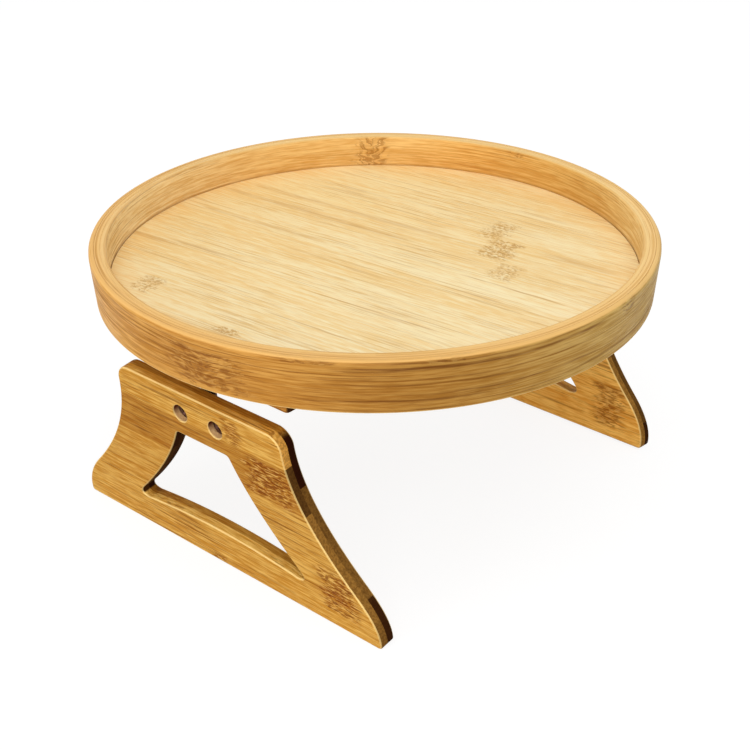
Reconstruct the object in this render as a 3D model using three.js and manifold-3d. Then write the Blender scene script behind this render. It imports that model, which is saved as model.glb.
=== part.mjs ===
// Round bamboo tray on two folding legs, for the arm of a sofa.
// Millimetres, +Z up. X runs from the left leg to the right leg, Y along the hinge pins.
// The origin is on the surface that the feet stand on, under the middle of the tray.

import * as THREE from 'three';
import { mergeVertices } from 'three/addons/utils/BufferGeometryUtils.js';
import Module from 'manifold-3d';

// Tray
const TRAY_DIAMETER = 250;
const RIM_HEIGHT = 22.8;
const RIM_TAPER = 1.6; // how far the outside draws in from the top edge to the bottom edge
const RIM_EASE = 0.8; // chamfer on the two top edges of the rim
const FOOT_EASE = 0.7; // chamfer on the outside bottom edge of the rim
const PLY_THICKNESS = 2.6;
const FLOOR_THICKNESS = 7.6;

// Board under the tray
const BOARD_LENGTH = 210.5;
const BOARD_WIDTH = 92.5;
const BOARD_THICKNESS = 8;
const BOARD_CORNER_RADIUS = 2;
const BOARD_SCREW_SPACING_X = 120;
const BOARD_SCREW_SPACING_Y = 64;

// Leg
const LEG_LEAN = 7; // degrees that each leg leans in from upright
const LEG_THICKNESS = 8;
const LEG_HEIGHT = 88.2;
const LEG_TOP_WIDTH = 96.4;
const LEG_FOOT_WIDTH = 180.4;
const LEG_EDGE_EASE = 0.6; // chamfer round both faces
const SHOULDER_RADIUS = 7.5;
const FLARE_KNEE_DROP = 26.9; // from the shoulder down to the point that the flare bends towards
const FLARE_KNEE_OUT = 1.2; // how far that point lies outside the shoulder
const TOE_HEIGHT = 23.3; // from the foot edge up to where the flare turns over into the toe
const TOE_WIDTH = 11.2; // how far the toe reaches out past there
const FOOT_CORNER_RADIUS = 2;

// Window in the leg
const WINDOW_TOP_DROP = 22.4; // below the top edge of the leg
const WINDOW_FOOT_RAIL = 16.1; // from the window's bottom corners to the foot edge
const WINDOW_TOP_WIDTH = 30.6;
const WINDOW_BOTTOM_WIDTH = 105.4;
const WINDOW_BOW = 5.1; // how far the point that a side bends towards lies inside the straight side
const WINDOW_BOW_DROP = 22.8; // how far down the side that point lies
const WINDOW_ARCH = 3.2; // rise of the bottom edge in the middle
const WINDOW_TOP_ROUND = 1.6;
const WINDOW_BOTTOM_ROUND = 7;

// Hinge
const PIN_DIAMETER = 2.5;
const PIN_HEAD_DIAMETER = 4;
const PIN_HEAD_LENGTH = 0.8;
const KNUCKLE_DIAMETER = 5.2;
const OUTER_KNUCKLE_LENGTH = 2.6;
const MIDDLE_KNUCKLE_LENGTH = 2.8;
const LEAF_THICKNESS = 1.2;
const LEAF_END_MARGIN = 1.1; // metal past the screw heads at the two ends of the plate
const LEAF_SIDE_MARGIN = 2.9; // metal past the screw heads along the two long sides of the plate
const LEAF_NECK_LENGTH = 8.4; // from the pin's axis to the plate
const LEAF_CORNER_RADIUS = 3;
const HINGE_INSET = 1.7; // from the end of the board in to the pin's axis
const LEG_TOP_DROP = 3.8; // from the pin's axis down to the top edge of the leg

// Screws
const LEAF_SCREW_SPACING = 20.6; // between the two screws of a leaf
const SCREW_DIAMETER = 4;
const SCREW_HEAD_DIAMETER = 7.2;
const SCREW_HEAD_HEIGHT = 2.2;
const SCREW_HEAD_CROWN = 0.7; // chamfer round a machine screw's head
const SCREW_TIP_LENGTH = 2.4;
const RECESS_WIDTH = 1;
const RECESS_LENGTH = 4;
const RECESS_DEPTH = 1.1;
const SCREW_COVER = 1.6; // wood left over the tip of a screw
const SINK_DEPTH = 4; // round recess for the head in the leg's outer face

// Clearances
const SEAT_GAP = 0.3; // between leaning pieces that bear on each other
const THREAD_GAP = 0.3; // round a screw in its hole
const HEAD_GAP = 0.4; // round a screw's head in its recess
const PIN_GAP = 0.3; // round the pin in its knuckles, and under its heads
const KNUCKLE_GAP = 0.3; // between neighbouring knuckles
const SWEEP_GAP = 0.9; // between a knuckle and the neck of the other leaf
const GLUE_GAP = 0.3; // between the bent plies, and round the floor

// Colours
const FLOOR_COLOR = '#e2bd80';
const OUTER_PLY_COLOR = '#c48d48';
const MIDDLE_PLY_COLOR = '#d9ad6a';
const INNER_PLY_COLOR = '#cf9a55';
const BOARD_COLOR = '#c99650';
const LEG_COLOR = '#c08743';
const LEAF_COLOR = '#574236';
const SCREW_COLOR = '#694d40';
const BAMBOO_ROUGHNESS = 0.5;
const STEEL_ROUGHNESS = 0.35;

// Facets
const RIM_SEGMENTS = 80;
const ROUND_SEGMENTS = 20;
const CURVE_STEPS = 8;
const POINT_GAP = 1e-3; // points of an outline closer than this are one point

// Places that follow from the sizes above
const lean = THREE.MathUtils.degToRad(LEG_LEAN);
const legInnerFace = LEAF_THICKNESS + SEAT_GAP;
const legOuterFace = legInnerFace + LEG_THICKNESS;
const legTop = -LEG_TOP_DROP;
const legBottom = legTop - LEG_HEIGHT;
const pinX = BOARD_LENGTH / 2 - HINGE_INSET;
const pinZ = (legOuterFace - LEG_EDGE_EASE) * Math.sin(lean) - legBottom * Math.cos(lean);
const boardZ = pinZ + KNUCKLE_DIAMETER / 2;
const trayZ = boardZ + BOARD_THICKNESS;
const rimRadius = TRAY_DIAMETER / 2;
const wellRadius = rimRadius - 3 * PLY_THICKNESS; // inside the three plies
const outerKnuckleY = (MIDDLE_KNUCKLE_LENGTH + OUTER_KNUCKLE_LENGTH) / 2 + KNUCKLE_GAP;
const barrelLength = 2 * outerKnuckleY + OUTER_KNUCKLE_LENGTH;
const leafWidth = LEAF_SCREW_SPACING + SCREW_HEAD_DIAMETER + 2 * LEAF_END_MARGIN;
const leafPlateLength = SCREW_HEAD_DIAMETER + 2 * LEAF_SIDE_MARGIN;
const leafLevel = KNUCKLE_DIAMETER / 2 - LEAF_THICKNESS; // face of the board leaf above the pin's axis
const screwReach = LEAF_NECK_LENGTH + leafPlateLength / 2;
const holeDiameter = SCREW_DIAMETER + 2 * THREAD_GAP;
const sinkDiameter = SCREW_HEAD_DIAMETER + 2 * HEAD_GAP;
const boardScrewLength = BOARD_THICKNESS + FLOOR_THICKNESS - SCREW_COVER;
const leafScrewLength = LEAF_THICKNESS + BOARD_THICKNESS - SCREW_COVER;
const legScrewLength = legOuterFace - SINK_DEPTH + SEAT_GAP + SCREW_HEAD_HEIGHT;
const leafScrewYs = [-LEAF_SCREW_SPACING / 2, LEAF_SCREW_SPACING / 2];
const boardScrewPlaces = [[-1, -1], [1, -1], [-1, 1], [1, 1]].map(([x, y]) => [
  x * BOARD_SCREW_SPACING_X / 2,
  y * BOARD_SCREW_SPACING_Y / 2,
]);

const wasm = await Module();
wasm.setup();

// Solids from geometry and back, for cutting and joining
function toSolid(geometry) {
  const bare = geometry.clone();
  bare.deleteAttribute('normal');
  bare.deleteAttribute('uv');
  const merged = mergeVertices(bare);
  return new wasm.Manifold(new wasm.Mesh({
    numProp: 3,
    vertProperties: new Float32Array(merged.attributes.position.array),
    triVerts: new Uint32Array(merged.index.array),
  }));
}

function toGeometry(solid) {
  const mesh = solid.getMesh();
  const geometry = new THREE.BufferGeometry();
  geometry.setAttribute('position', new THREE.BufferAttribute(mesh.vertProperties, 3));
  geometry.setIndex(new THREE.BufferAttribute(mesh.triVerts, 1));
  geometry.computeVertexNormals();
  return geometry;
}

function cut(body, tools) {
  const solid = tools.reduce((rest, tool) => rest.subtract(toSolid(tool)), toSolid(body));
  return toGeometry(solid);
}

function join(pieces) {
  const solid = pieces.map(toSolid).reduce((whole, piece) => whole.add(piece));
  return toGeometry(solid);
}

// Turned shapes: a profile of [radius, height] pairs turned about Z
function turned(profile, segments = ROUND_SEGMENTS) {
  const points = profile.map(([radius, height]) => new THREE.Vector2(radius, height));
  return new THREE.LatheGeometry(points, segments).rotateX(Math.PI / 2);
}

function rod(diameter, bottom, top, segments = ROUND_SEGMENTS) {
  const radius = diameter / 2;
  return turned([[0, bottom], [radius, bottom], [radius, top], [0, top]], segments);
}

function rodAlongX(diameter, near, far) {
  return rod(diameter, near, far).rotateY(Math.PI / 2);
}

function rodAlongY(diameter, length) {
  return rod(diameter, -length / 2, length / 2).rotateX(Math.PI / 2);
}

// Flat shapes: an outline made thick towards +Z, with its edges eased if asked
function slab(shape, thickness, ease = 0) {
  return new THREE.ExtrudeGeometry(shape, {
    depth: thickness - 2 * ease,
    bevelEnabled: ease > 0,
    bevelThickness: ease,
    bevelSize: ease,
    bevelOffset: -ease,
    bevelSegments: 1,
    curveSegments: CURVE_STEPS,
  }).translate(0, 0, ease);
}

// Stands a slab on edge: its outline's (across, up) become Y and Z, its thickness +X
function stoodUp(geometry) {
  const y = new THREE.Vector3(0, 1, 0);
  const z = new THREE.Vector3(0, 0, 1);
  const x = new THREE.Vector3(1, 0, 0);
  return geometry.applyMatrix4(new THREE.Matrix4().makeBasis(y, z, x));
}

// A polygon of [x, y, round] corners, each rounded over that length of its two sides
function roundedOutline(corners) {
  const shape = new THREE.Shape();
  const count = corners.length;
  corners.forEach(([x, y, round = 0], i) => {
    const corner = new THREE.Vector2(x, y);
    const before = new THREE.Vector2(...corners[(i + count - 1) % count]);
    const after = new THREE.Vector2(...corners[(i + 1) % count]);
    const enter = corner.clone().addScaledVector(before.sub(corner).normalize(), round);
    const leave = corner.clone().addScaledVector(after.sub(corner).normalize(), round);
    if (i === 0) {
      shape.moveTo(enter.x, enter.y);
    } else {
      shape.lineTo(enter.x, enter.y);
    }
    if (round > 0) {
      shape.quadraticCurveTo(corner.x, corner.y, leave.x, leave.y);
    }
  });
  return shape;
}

// Both halves of an outline, anticlockwise, from a right half that starts and ends on the middle line
function bothHalves(rightHalf) {
  const points = rightHalf.getPoints(CURVE_STEPS);
  const right = points.filter((point, i) => i === 0 || point.distanceTo(points[i - 1]) > POINT_GAP);
  const left = right.map((point) => new THREE.Vector2(-point.x, point.y));
  return [...left, ...right.slice(1, -1).reverse()];
}

function bamboo(color) {
  return new THREE.MeshStandardMaterial({ color, roughness: BAMBOO_ROUGHNESS, metalness: 0 });
}

function steel(color) {
  return new THREE.MeshStandardMaterial({ color, roughness: STEEL_ROUGHNESS, metalness: 1 });
}

function addPart(parent, name, geometry, material) {
  const mesh = new THREE.Mesh(geometry, material);
  mesh.name = name;
  parent.add(mesh);
  return mesh;
}

// Rim: three bent plies round the edge of the floor
function outerPly() {
  const inside = rimRadius - PLY_THICKNESS;
  const footRadius = rimRadius - RIM_TAPER;
  const taperAtEase = RIM_TAPER * RIM_EASE / RIM_HEIGHT;
  const profile = [
    [inside, 0],
    [footRadius - FOOT_EASE, 0],
    [footRadius, FOOT_EASE],
    [rimRadius - taperAtEase, RIM_HEIGHT - RIM_EASE],
    [rimRadius - RIM_EASE, RIM_HEIGHT],
    [inside, RIM_HEIGHT],
    [inside, 0],
  ];
  return turned(profile, RIM_SEGMENTS);
}

function middlePly() {
  const outside = rimRadius - PLY_THICKNESS - GLUE_GAP;
  const inside = rimRadius - 2 * PLY_THICKNESS;
  const profile = [[inside, 0], [outside, 0], [outside, RIM_HEIGHT], [inside, RIM_HEIGHT], [inside, 0]];
  return turned(profile, RIM_SEGMENTS);
}

function innerPly() {
  const outside = wellRadius + PLY_THICKNESS - GLUE_GAP;
  const profile = [
    [wellRadius, 0],
    [outside, 0],
    [outside, RIM_HEIGHT],
    [wellRadius + RIM_EASE, RIM_HEIGHT],
    [wellRadius, RIM_HEIGHT - RIM_EASE],
    [wellRadius, 0],
  ];
  return turned(profile, RIM_SEGMENTS);
}

// Screws stand with the head's face at the origin and the tip up
function withCrossRecess(screw) {
  const bars = [[RECESS_LENGTH, RECESS_WIDTH], [RECESS_WIDTH, RECESS_LENGTH]];
  return cut(screw, bars.map(([x, y]) => new THREE.BoxGeometry(x, y, 2 * RECESS_DEPTH)));
}

function countersunkScrew(length) {
  const shank = SCREW_DIAMETER / 2;
  const profile = [
    [0, 0],
    [SCREW_HEAD_DIAMETER / 2, 0],
    [shank, SCREW_HEAD_HEIGHT],
    [shank, length - SCREW_TIP_LENGTH],
    [0, length],
  ];
  return withCrossRecess(turned(profile));
}

function countersunkHole(length) {
  const profile = [
    [0, -THREAD_GAP],
    [SCREW_HEAD_DIAMETER / 2 + HEAD_GAP + THREAD_GAP, -THREAD_GAP],
    [holeDiameter / 2, SCREW_HEAD_HEIGHT],
    [holeDiameter / 2, length + THREAD_GAP],
    [0, length + THREAD_GAP],
  ];
  return turned(profile);
}

function machineScrew(length) {
  const shank = SCREW_DIAMETER / 2;
  const head = SCREW_HEAD_DIAMETER / 2;
  const profile = [
    [0, 0],
    [head - SCREW_HEAD_CROWN, 0],
    [head, SCREW_HEAD_CROWN],
    [head, SCREW_HEAD_HEIGHT],
    [shank, SCREW_HEAD_HEIGHT],
    [shank, length],
    [0, length],
  ];
  return withCrossRecess(turned(profile));
}

// Floor and board, with the holes that their screws leave; heights from the underside of the board
function boardScrewHoles() {
  return boardScrewPlaces.map(([x, y]) => countersunkHole(boardScrewLength).translate(x, y, 0));
}

function floorPanel() {
  const edge = wellRadius - GLUE_GAP;
  const disc = rod(2 * edge, BOARD_THICKNESS, BOARD_THICKNESS + FLOOR_THICKNESS, RIM_SEGMENTS);
  return cut(disc, boardScrewHoles());
}

function boardPanel() {
  const x = BOARD_LENGTH / 2;
  const y = BOARD_WIDTH / 2;
  const round = BOARD_CORNER_RADIUS;
  const outline = roundedOutline([[-x, -y, round], [x, -y, round], [x, y, round], [-x, y, round]]);
  const leafHoles = [-1, 1].flatMap((end) => leafScrewYs.map((holeY) =>
    countersunkHole(leafScrewLength).translate(end * (pinX - screwReach), holeY, -LEAF_THICKNESS)));
  return cut(slab(outline, BOARD_THICKNESS), [...boardScrewHoles(), ...leafHoles]);
}

// Hinge, with the middle of its pin at the origin
function hingePin() {
  const pin = PIN_DIAMETER / 2;
  const head = PIN_HEAD_DIAMETER / 2;
  const neck = barrelLength / 2 + PIN_GAP;
  const end = neck + PIN_HEAD_LENGTH;
  const profile = [
    [0, -end],
    [head, -end],
    [head, -neck],
    [pin, -neck],
    [pin, neck],
    [head, neck],
    [head, end],
    [0, end],
  ];
  return turned(profile).rotateX(Math.PI / 2);
}

function knuckle(y, length) {
  return rodAlongY(KNUCKLE_DIAMETER, length).translate(0, y, 0);
}

function pinBore() {
  return rodAlongY(PIN_DIAMETER + 2 * PIN_GAP, 2 * barrelLength);
}

// Room for a knuckle of the other leaf to turn in
function knuckleRoom(y, length) {
  const diameter = KNUCKLE_DIAMETER + 2 * SWEEP_GAP;
  return rodAlongY(diameter, length + 2 * KNUCKLE_GAP).translate(0, y, 0);
}

// A leaf's flat blank in (across, up): the neck reaches up to the pin, the plate lies below it
function leafBlank() {
  const neck = barrelLength / 2;
  const half = leafWidth / 2;
  const top = -LEAF_NECK_LENGTH;
  const bottom = top - leafPlateLength;
  const round = LEAF_CORNER_RADIUS;
  const outline = roundedOutline([
    [neck, 0],
    [-neck, 0],
    [-neck, top],
    [-half, top, round],
    [-half, bottom, round],
    [half, bottom, round],
    [half, top, round],
    [neck, top],
  ]);
  return slab(outline, LEAF_THICKNESS);
}

function boardLeaf() {
  const plate = leafBlank().rotateZ(-Math.PI / 2).translate(0, 0, leafLevel);
  const rooms = [-outerKnuckleY, outerKnuckleY].map((y) => knuckleRoom(y, OUTER_KNUCKLE_LENGTH));
  const holes = leafScrewYs.map((y) =>
    countersunkHole(leafScrewLength).translate(-screwReach, y, leafLevel));
  const leaf = join([cut(plate, rooms), knuckle(0, MIDDLE_KNUCKLE_LENGTH)]);
  return cut(leaf, [pinBore(), ...holes]);
}

function legLeaf() {
  const plate = stoodUp(leafBlank());
  const knuckles = [-outerKnuckleY, outerKnuckleY].map((y) => knuckle(y, OUTER_KNUCKLE_LENGTH));
  const holes = leafScrewYs.map((y) =>
    rodAlongX(holeDiameter, -LEAF_THICKNESS, 2 * LEAF_THICKNESS).translate(0, y, -screwReach));
  const leaf = join([cut(plate, [knuckleRoom(0, MIDDLE_KNUCKLE_LENGTH)]), ...knuckles]);
  return cut(leaf, [pinBore(), ...holes]);
}

// Leg, drawn in (across, up) from the same origin
function legOutline() {
  const shoulder = LEG_TOP_WIDTH / 2;
  const foot = LEG_FOOT_WIDTH / 2;
  const flareTop = legTop - SHOULDER_RADIUS;
  const knee = new THREE.Vector2(shoulder + FLARE_KNEE_OUT, flareTop - FLARE_KNEE_DROP);
  const turnOver = new THREE.Vector2(foot - TOE_WIDTH, legBottom + TOE_HEIGHT);
  const toeKnee = turnOver.y + TOE_WIDTH * (turnOver.y - knee.y) / (turnOver.x - knee.x);
  const half = new THREE.Path();
  half.moveTo(0, legTop);
  half.lineTo(shoulder - SHOULDER_RADIUS, legTop);
  half.absarc(shoulder - SHOULDER_RADIUS, flareTop, SHOULDER_RADIUS, Math.PI / 2, 0, true);
  half.quadraticCurveTo(knee.x, knee.y, turnOver.x, turnOver.y);
  half.quadraticCurveTo(foot, toeKnee, foot, legBottom + FOOT_CORNER_RADIUS);
  half.quadraticCurveTo(foot, legBottom, foot - FOOT_CORNER_RADIUS, legBottom);
  half.lineTo(0, legBottom);
  return bothHalves(half);
}

function windowOutline() {
  const upper = new THREE.Vector2(WINDOW_TOP_WIDTH / 2, legTop - WINDOW_TOP_DROP);
  const lower = new THREE.Vector2(WINDOW_BOTTOM_WIDTH / 2, legBottom + WINDOW_FOOT_RAIL);
  const along = lower.clone().sub(upper).normalize();
  const inward = new THREE.Vector2(along.y, -along.x);
  const bend = upper.clone().addScaledVector(along, WINDOW_BOW_DROP).addScaledVector(inward, WINDOW_BOW);
  const sideTop = upper.clone().lerp(bend, WINDOW_TOP_ROUND / upper.distanceTo(bend));
  const sideBottom = lower.clone().lerp(bend, WINDOW_BOTTOM_ROUND / lower.distanceTo(bend));
  const archEnd = lower.x - WINDOW_BOTTOM_ROUND;
  const archTop = lower.y + WINDOW_ARCH;
  const half = new THREE.Path();
  half.moveTo(0, upper.y);
  half.lineTo(upper.x - WINDOW_TOP_ROUND, upper.y);
  half.quadraticCurveTo(upper.x, upper.y, sideTop.x, sideTop.y);
  half.quadraticCurveTo(bend.x, bend.y, sideBottom.x, sideBottom.y);
  half.quadraticCurveTo(lower.x, lower.y, archEnd, lower.y);
  half.quadraticCurveTo(archEnd / 2, archTop, 0, archTop);
  return bothHalves(half);
}

function legBoard() {
  const outline = new THREE.Shape(legOutline());
  outline.holes.push(new THREE.Path(windowOutline()));
  const panel = stoodUp(slab(outline, LEG_THICKNESS, LEG_EDGE_EASE)).translate(legInnerFace, 0, 0);
  const outside = legOuterFace + SINK_DEPTH;
  const holes = leafScrewYs.flatMap((y) => [
    rodAlongX(holeDiameter, 0, outside).translate(0, y, -screwReach),
    rodAlongX(sinkDiameter, legOuterFace - SINK_DEPTH, outside).translate(0, y, -screwReach),
  ]);
  return cut(panel, holes);
}

// Assembly
const foldingTray = new THREE.Group();

const trayTop = new THREE.Group();
trayTop.position.z = boardZ;
foldingTray.add(trayTop);
addPart(trayTop, 'base_board', boardPanel(), bamboo(BOARD_COLOR));
addPart(trayTop, 'tray_floor', floorPanel(), bamboo(FLOOR_COLOR));
boardScrewPlaces.forEach(([x, y], i) => {
  const screw = countersunkScrew(boardScrewLength).translate(x, y, 0);
  addPart(trayTop, `board_screw_${i + 1}`, screw, steel(SCREW_COLOR));
});

const rim = new THREE.Group();
rim.position.z = trayZ;
foldingTray.add(rim);
addPart(rim, 'rim_outer_ply', outerPly(), bamboo(OUTER_PLY_COLOR));
addPart(rim, 'rim_middle_ply', middlePly(), bamboo(MIDDLE_PLY_COLOR));
addPart(rim, 'rim_inner_ply', innerPly(), bamboo(INNER_PLY_COLOR));

for (const [side, turn] of [['left', Math.PI], ['right', 0]]) {
  const end = new THREE.Group();
  end.rotation.z = turn;
  foldingTray.add(end);

  const hinge = new THREE.Group();
  hinge.position.set(pinX, 0, pinZ);
  end.add(hinge);
  addPart(hinge, `${side}_hinge_pin`, hingePin(), steel(LEAF_COLOR));
  addPart(hinge, `${side}_board_leaf`, boardLeaf(), steel(LEAF_COLOR));
  leafScrewYs.forEach((y, i) => {
    const screw = countersunkScrew(leafScrewLength).translate(-screwReach, y, leafLevel);
    addPart(hinge, `${side}_leaf_screw_${i + 1}`, screw, steel(SCREW_COLOR));
  });

  const leg = new THREE.Group();
  leg.rotation.y = lean;
  hinge.add(leg);
  addPart(leg, `${side}_leg`, legBoard(), bamboo(LEG_COLOR));
  addPart(leg, `${side}_leg_leaf`, legLeaf(), steel(LEAF_COLOR));
  leafScrewYs.forEach((y, i) => {
    const screw = machineScrew(legScrewLength).rotateY(-Math.PI / 2);
    screw.translate(legScrewLength, y, -screwReach);
    addPart(leg, `${side}_leg_screw_${i + 1}`, screw, steel(SCREW_COLOR));
  });
}

export default foldingTray;
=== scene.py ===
import math

import bmesh
import bpy
from mathutils import Matrix, Vector
from mathutils.geometry import tessellate_polygon


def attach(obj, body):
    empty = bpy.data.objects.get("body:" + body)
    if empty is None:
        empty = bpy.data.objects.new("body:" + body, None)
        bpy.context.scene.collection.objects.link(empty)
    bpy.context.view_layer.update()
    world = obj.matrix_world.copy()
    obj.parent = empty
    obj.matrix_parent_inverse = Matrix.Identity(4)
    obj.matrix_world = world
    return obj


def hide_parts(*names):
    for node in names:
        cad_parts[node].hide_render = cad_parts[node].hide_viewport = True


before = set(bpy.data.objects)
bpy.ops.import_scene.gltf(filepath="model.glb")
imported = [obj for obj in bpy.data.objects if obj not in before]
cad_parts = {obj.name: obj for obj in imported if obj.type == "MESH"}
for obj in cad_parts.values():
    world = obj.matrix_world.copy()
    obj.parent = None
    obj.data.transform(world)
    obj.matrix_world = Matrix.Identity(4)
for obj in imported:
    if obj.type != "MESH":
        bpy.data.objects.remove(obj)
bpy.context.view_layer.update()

# Sizes in millimetres and turns in radians, mostly the solids' own
MM = 0.001
RIM_RADIUS = 125.0
RIM_HEIGHT = 22.8
RIM_TAPER = 1.6
RIM_FOOT_EASE = 0.7
RIM_TOP_EASE = 2.0
RIM_LIP_EASE = 1.0
RIM_GROOVE = 0.22
PLY_THICKNESS = 2.6
FLOOR_THICKNESS = 7.6
FLOOR_RADIUS = 116.95
FLOOR_EASE = 0.35
BOARD_LENGTH = 210.5
BOARD_WIDTH = 92.5
BOARD_THICKNESS = 8.0
BOARD_CORNER = 2.0
BOARD_EASE = 0.5
BOARD_SCREWS = [(-60.0, -32.0), (60.0, -32.0), (-60.0, 32.0), (60.0, 32.0)]
LEG_LEAN = math.radians(7.0)
LEG_INNER_FACE = 1.5
LEG_THICKNESS = 8.0
LEG_TOP = -3.8
LEG_BOTTOM = -92.0
LEG_TOP_WIDTH = 96.4
LEG_FOOT_WIDTH = 180.4
LEG_EASE = 0.9
SHOULDER_RADIUS = 7.5
FLARE_KNEE = (1.2, 26.9)
TOE = (11.2, 23.3)
FOOT_CORNER = 2.0
WINDOW_TOP = LEG_TOP - 22.4
WINDOW_BOTTOM = LEG_BOTTOM + 16.1
WINDOW_TOP_WIDTH = 30.6
WINDOW_BOTTOM_WIDTH = 105.4
WINDOW_BOW = (22.8, 5.1)
WINDOW_ARCH = 3.2
WINDOW_TOP_ROUND = 1.6
WINDOW_BOTTOM_ROUND = 7.0
PIN_X = 103.55
PIN_Z = 92.398883
BOARD_Z = 94.998883
TRAY_Z = 102.998883
KNUCKLE_RADIUS = 2.55
KNUCKLE_EASE = 0.35
PIN_RADIUS = 1.25
PIN_GAP = 0.3
PIN_HEAD_LENGTH = 0.8
PIN_HEAD_RADIUS = 2.0
PIN_HEAD_EASE = 0.3
PIN_FACE_RADIUS = 1.5
PIN_FACE_DROP = 0.05
BORE_RADIUS = 1.45
MIDDLE_KNUCKLE = (-1.4, 1.4)
OUTER_KNUCKLES = [(-4.3, -1.7), (1.7, 4.3)]
LEAF_THICKNESS = 1.2
LEAF_LEVEL = 1.4
LEAF_TOP = -8.4
LEAF_BOTTOM = -21.4
LEAF_HALF = 15.0
LEAF_CORNER = 3.0
LEAF_EASE = 0.2
LEAF_SINK_STEP = 0.93
NECK_HALF = 4.3
NECK_TOP = -3.8
NECK_CORNER = 0.8
TONGUE_TOP = -1.8
SCREW_REACH = 14.9
SCREW_SPREAD = [-10.3, 10.3]
SCREW_RADIUS = 2.0
SCREW_HEAD_RADIUS = 3.6
SCREW_HEAD_HEIGHT = 2.2
SCREW_HEAD_EASE = (0.1, 0.15)
SCREW_TIP = (0.3, 2.4)
SCREW_END_EASE = 0.3
PAN_CROWN = [(2.5, 0.9), (3.2, 1.0), (SCREW_HEAD_RADIUS, 1.4)]
CROSS_MOUTH = (0.55, 2.1)
CROSS_BOTTOM = (0.3, 1.1)
CROSS_DEPTH = 0.9
SINK_RADIUS = 4.0
SINK_DEPTH = 4.0
SINK_LIP = 0.4
HOLE_RADIUS = 2.3
SINK_STEP = SINK_RADIUS - HOLE_RADIUS
BOARD_SCREW_LENGTH = 14.0
LEAF_SCREW_LENGTH = 7.6
LEG_SCREW_LENGTH = 8.0
BOARD_SCREW_TURN = 0.5
HINGE_SCREW_TURNS = [0.4, 1.1]

RIM_STEPS = 192
ROUND_STEPS = 40
CURVE_STEPS = 18
SAME_POINT = 0.02
SHARPEST_MITRE = 0.5
WELD_METRES = 1e-6
SHARP_ANGLE = math.radians(42)


# Making shapes

class Shape:
    """The points, in millimetres, and the faces of one piece while it is being made."""

    def __init__(self):
        self.points = []
        self.faces = []

    def ring(self, points):
        start = len(self.points)
        self.points.extend(points)
        return list(range(start, len(self.points)))

    def band(self, one, other):
        for i, a in enumerate(one):
            j = (i + 1) % len(one)
            self.faces.append((a, one[j], other[j], other[i]))

    def fan(self, ring, tip):
        for i, a in enumerate(ring):
            self.faces.append((a, ring[(i + 1) % len(ring)], tip))

    def cap(self, rings):
        order = [i for ring in rings for i in ring]
        loops = [[self.points[i] for i in ring] for ring in rings]
        for triangle in tessellate_polygon(loops):
            self.faces.append(tuple(order[i] for i in triangle))


def rounded(corners, steps=4):
    """A closed line through corners (x, y, reach), each eased over that reach of its two sides."""
    points = []
    for i, (x, y, reach) in enumerate(corners):
        corner = Vector((x, y))
        if not reach:
            points.append(corner)
            continue
        before = Vector(corners[i - 1][:2])
        after = Vector(corners[(i + 1) % len(corners)][:2])
        enter = corner + (before - corner).normalized() * reach
        leave = corner + (after - corner).normalized() * reach
        points.extend(bend(enter, corner, leave, steps))
    return points


def bend(start, towards, end, steps=CURVE_STEPS):
    """Points of a curve that leaves start, bends towards a point and arrives at end."""
    points = []
    for step in range(steps + 1):
        t = step / steps
        points.append(start * (1 - t) ** 2 + towards * (2 * t * (1 - t)) + end * t ** 2)
    return points


def both_halves(right):
    """A closed line from its right half, which runs down from the middle of the top."""
    clean = [right[0]]
    for point in right[1:]:
        if (point - clean[-1]).length > SAME_POINT:
            clean.append(point)
    left = [Vector((-point.x, point.y)) for point in clean]
    return left + clean[1:-1][::-1]


def circle(radius, across=0.0, up=0.0, steps=ROUND_STEPS):
    points = []
    for step in range(steps):
        turn = 2 * math.pi * step / steps
        points.append(Vector((across + radius * math.cos(turn), up + radius * math.sin(turn))))
    return points


def outward(points):
    """How far each point of an anticlockwise line moves for one millimetre outwards."""
    moves = []
    for i, here in enumerate(points):
        arrive = (here - points[i - 1]).normalized()
        leave = (points[(i + 1) % len(points)] - here).normalized()
        side = Vector((arrive.y, -arrive.x))
        middle = (side + Vector((leave.y, -leave.x))).normalized()
        moves.append(middle / max(middle.dot(side), SHARPEST_MITRE))
    return moves


def eased_edge(thickness, ease, steps=3):
    """(inset, depth) pairs of an edge from one face to the other, with both arrises rounded."""
    near = []
    for step in range(steps + 1):
        turn = math.pi / 2 * step / steps
        near.append((ease * (1 - math.sin(turn)), ease * (1 - math.cos(turn))))
    far = [(inset, thickness - depth) for inset, depth in reversed(near)]
    return near + far


def panel(shape, outlines, lay):
    """A flat piece: outlines are (line, edge) pairs, the outside first and then each opening."""
    near = []
    far = []
    for i, (line, edge) in enumerate(outlines):
        way = -1 if i == 0 else 1
        moves = outward(line)
        rings = []
        for inset, depth in edge:
            moved = [point + move * (way * inset) for point, move in zip(line, moves)]
            rings.append(shape.ring([lay(point.x, point.y, depth) for point in moved]))
        for one, other in zip(rings, rings[1:]):
            shape.band(one, other)
        near.append(rings[0])
        far.append(rings[-1])
    shape.cap(near)
    shape.cap(far)


def stacked(shape, profile, lay, steps=ROUND_STEPS):
    """Rings round one axis, each joined to the next; profile is a line of (radius, height) points."""
    rings = []
    for radius, height in profile:
        line = circle(radius, steps=steps)
        rings.append(shape.ring([lay(point.x, point.y, height) for point in line]))
    for one, other in zip(rings, rings[1:]):
        shape.band(one, other)
    return rings


def turned(shape, profile, lay, steps=ROUND_STEPS):
    """A turned ring: profile is a closed line."""
    rings = stacked(shape, profile, lay, steps)
    shape.band(rings[-1], rings[0])


def upright(x, y, z):
    return Vector((x, y, z))


def along_pin(x, y, height):
    return Vector((x, height, y))


def added(name, data):
    made = bpy.data.objects.new(name, data)
    bpy.context.scene.collection.objects.link(made)
    return made


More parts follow.
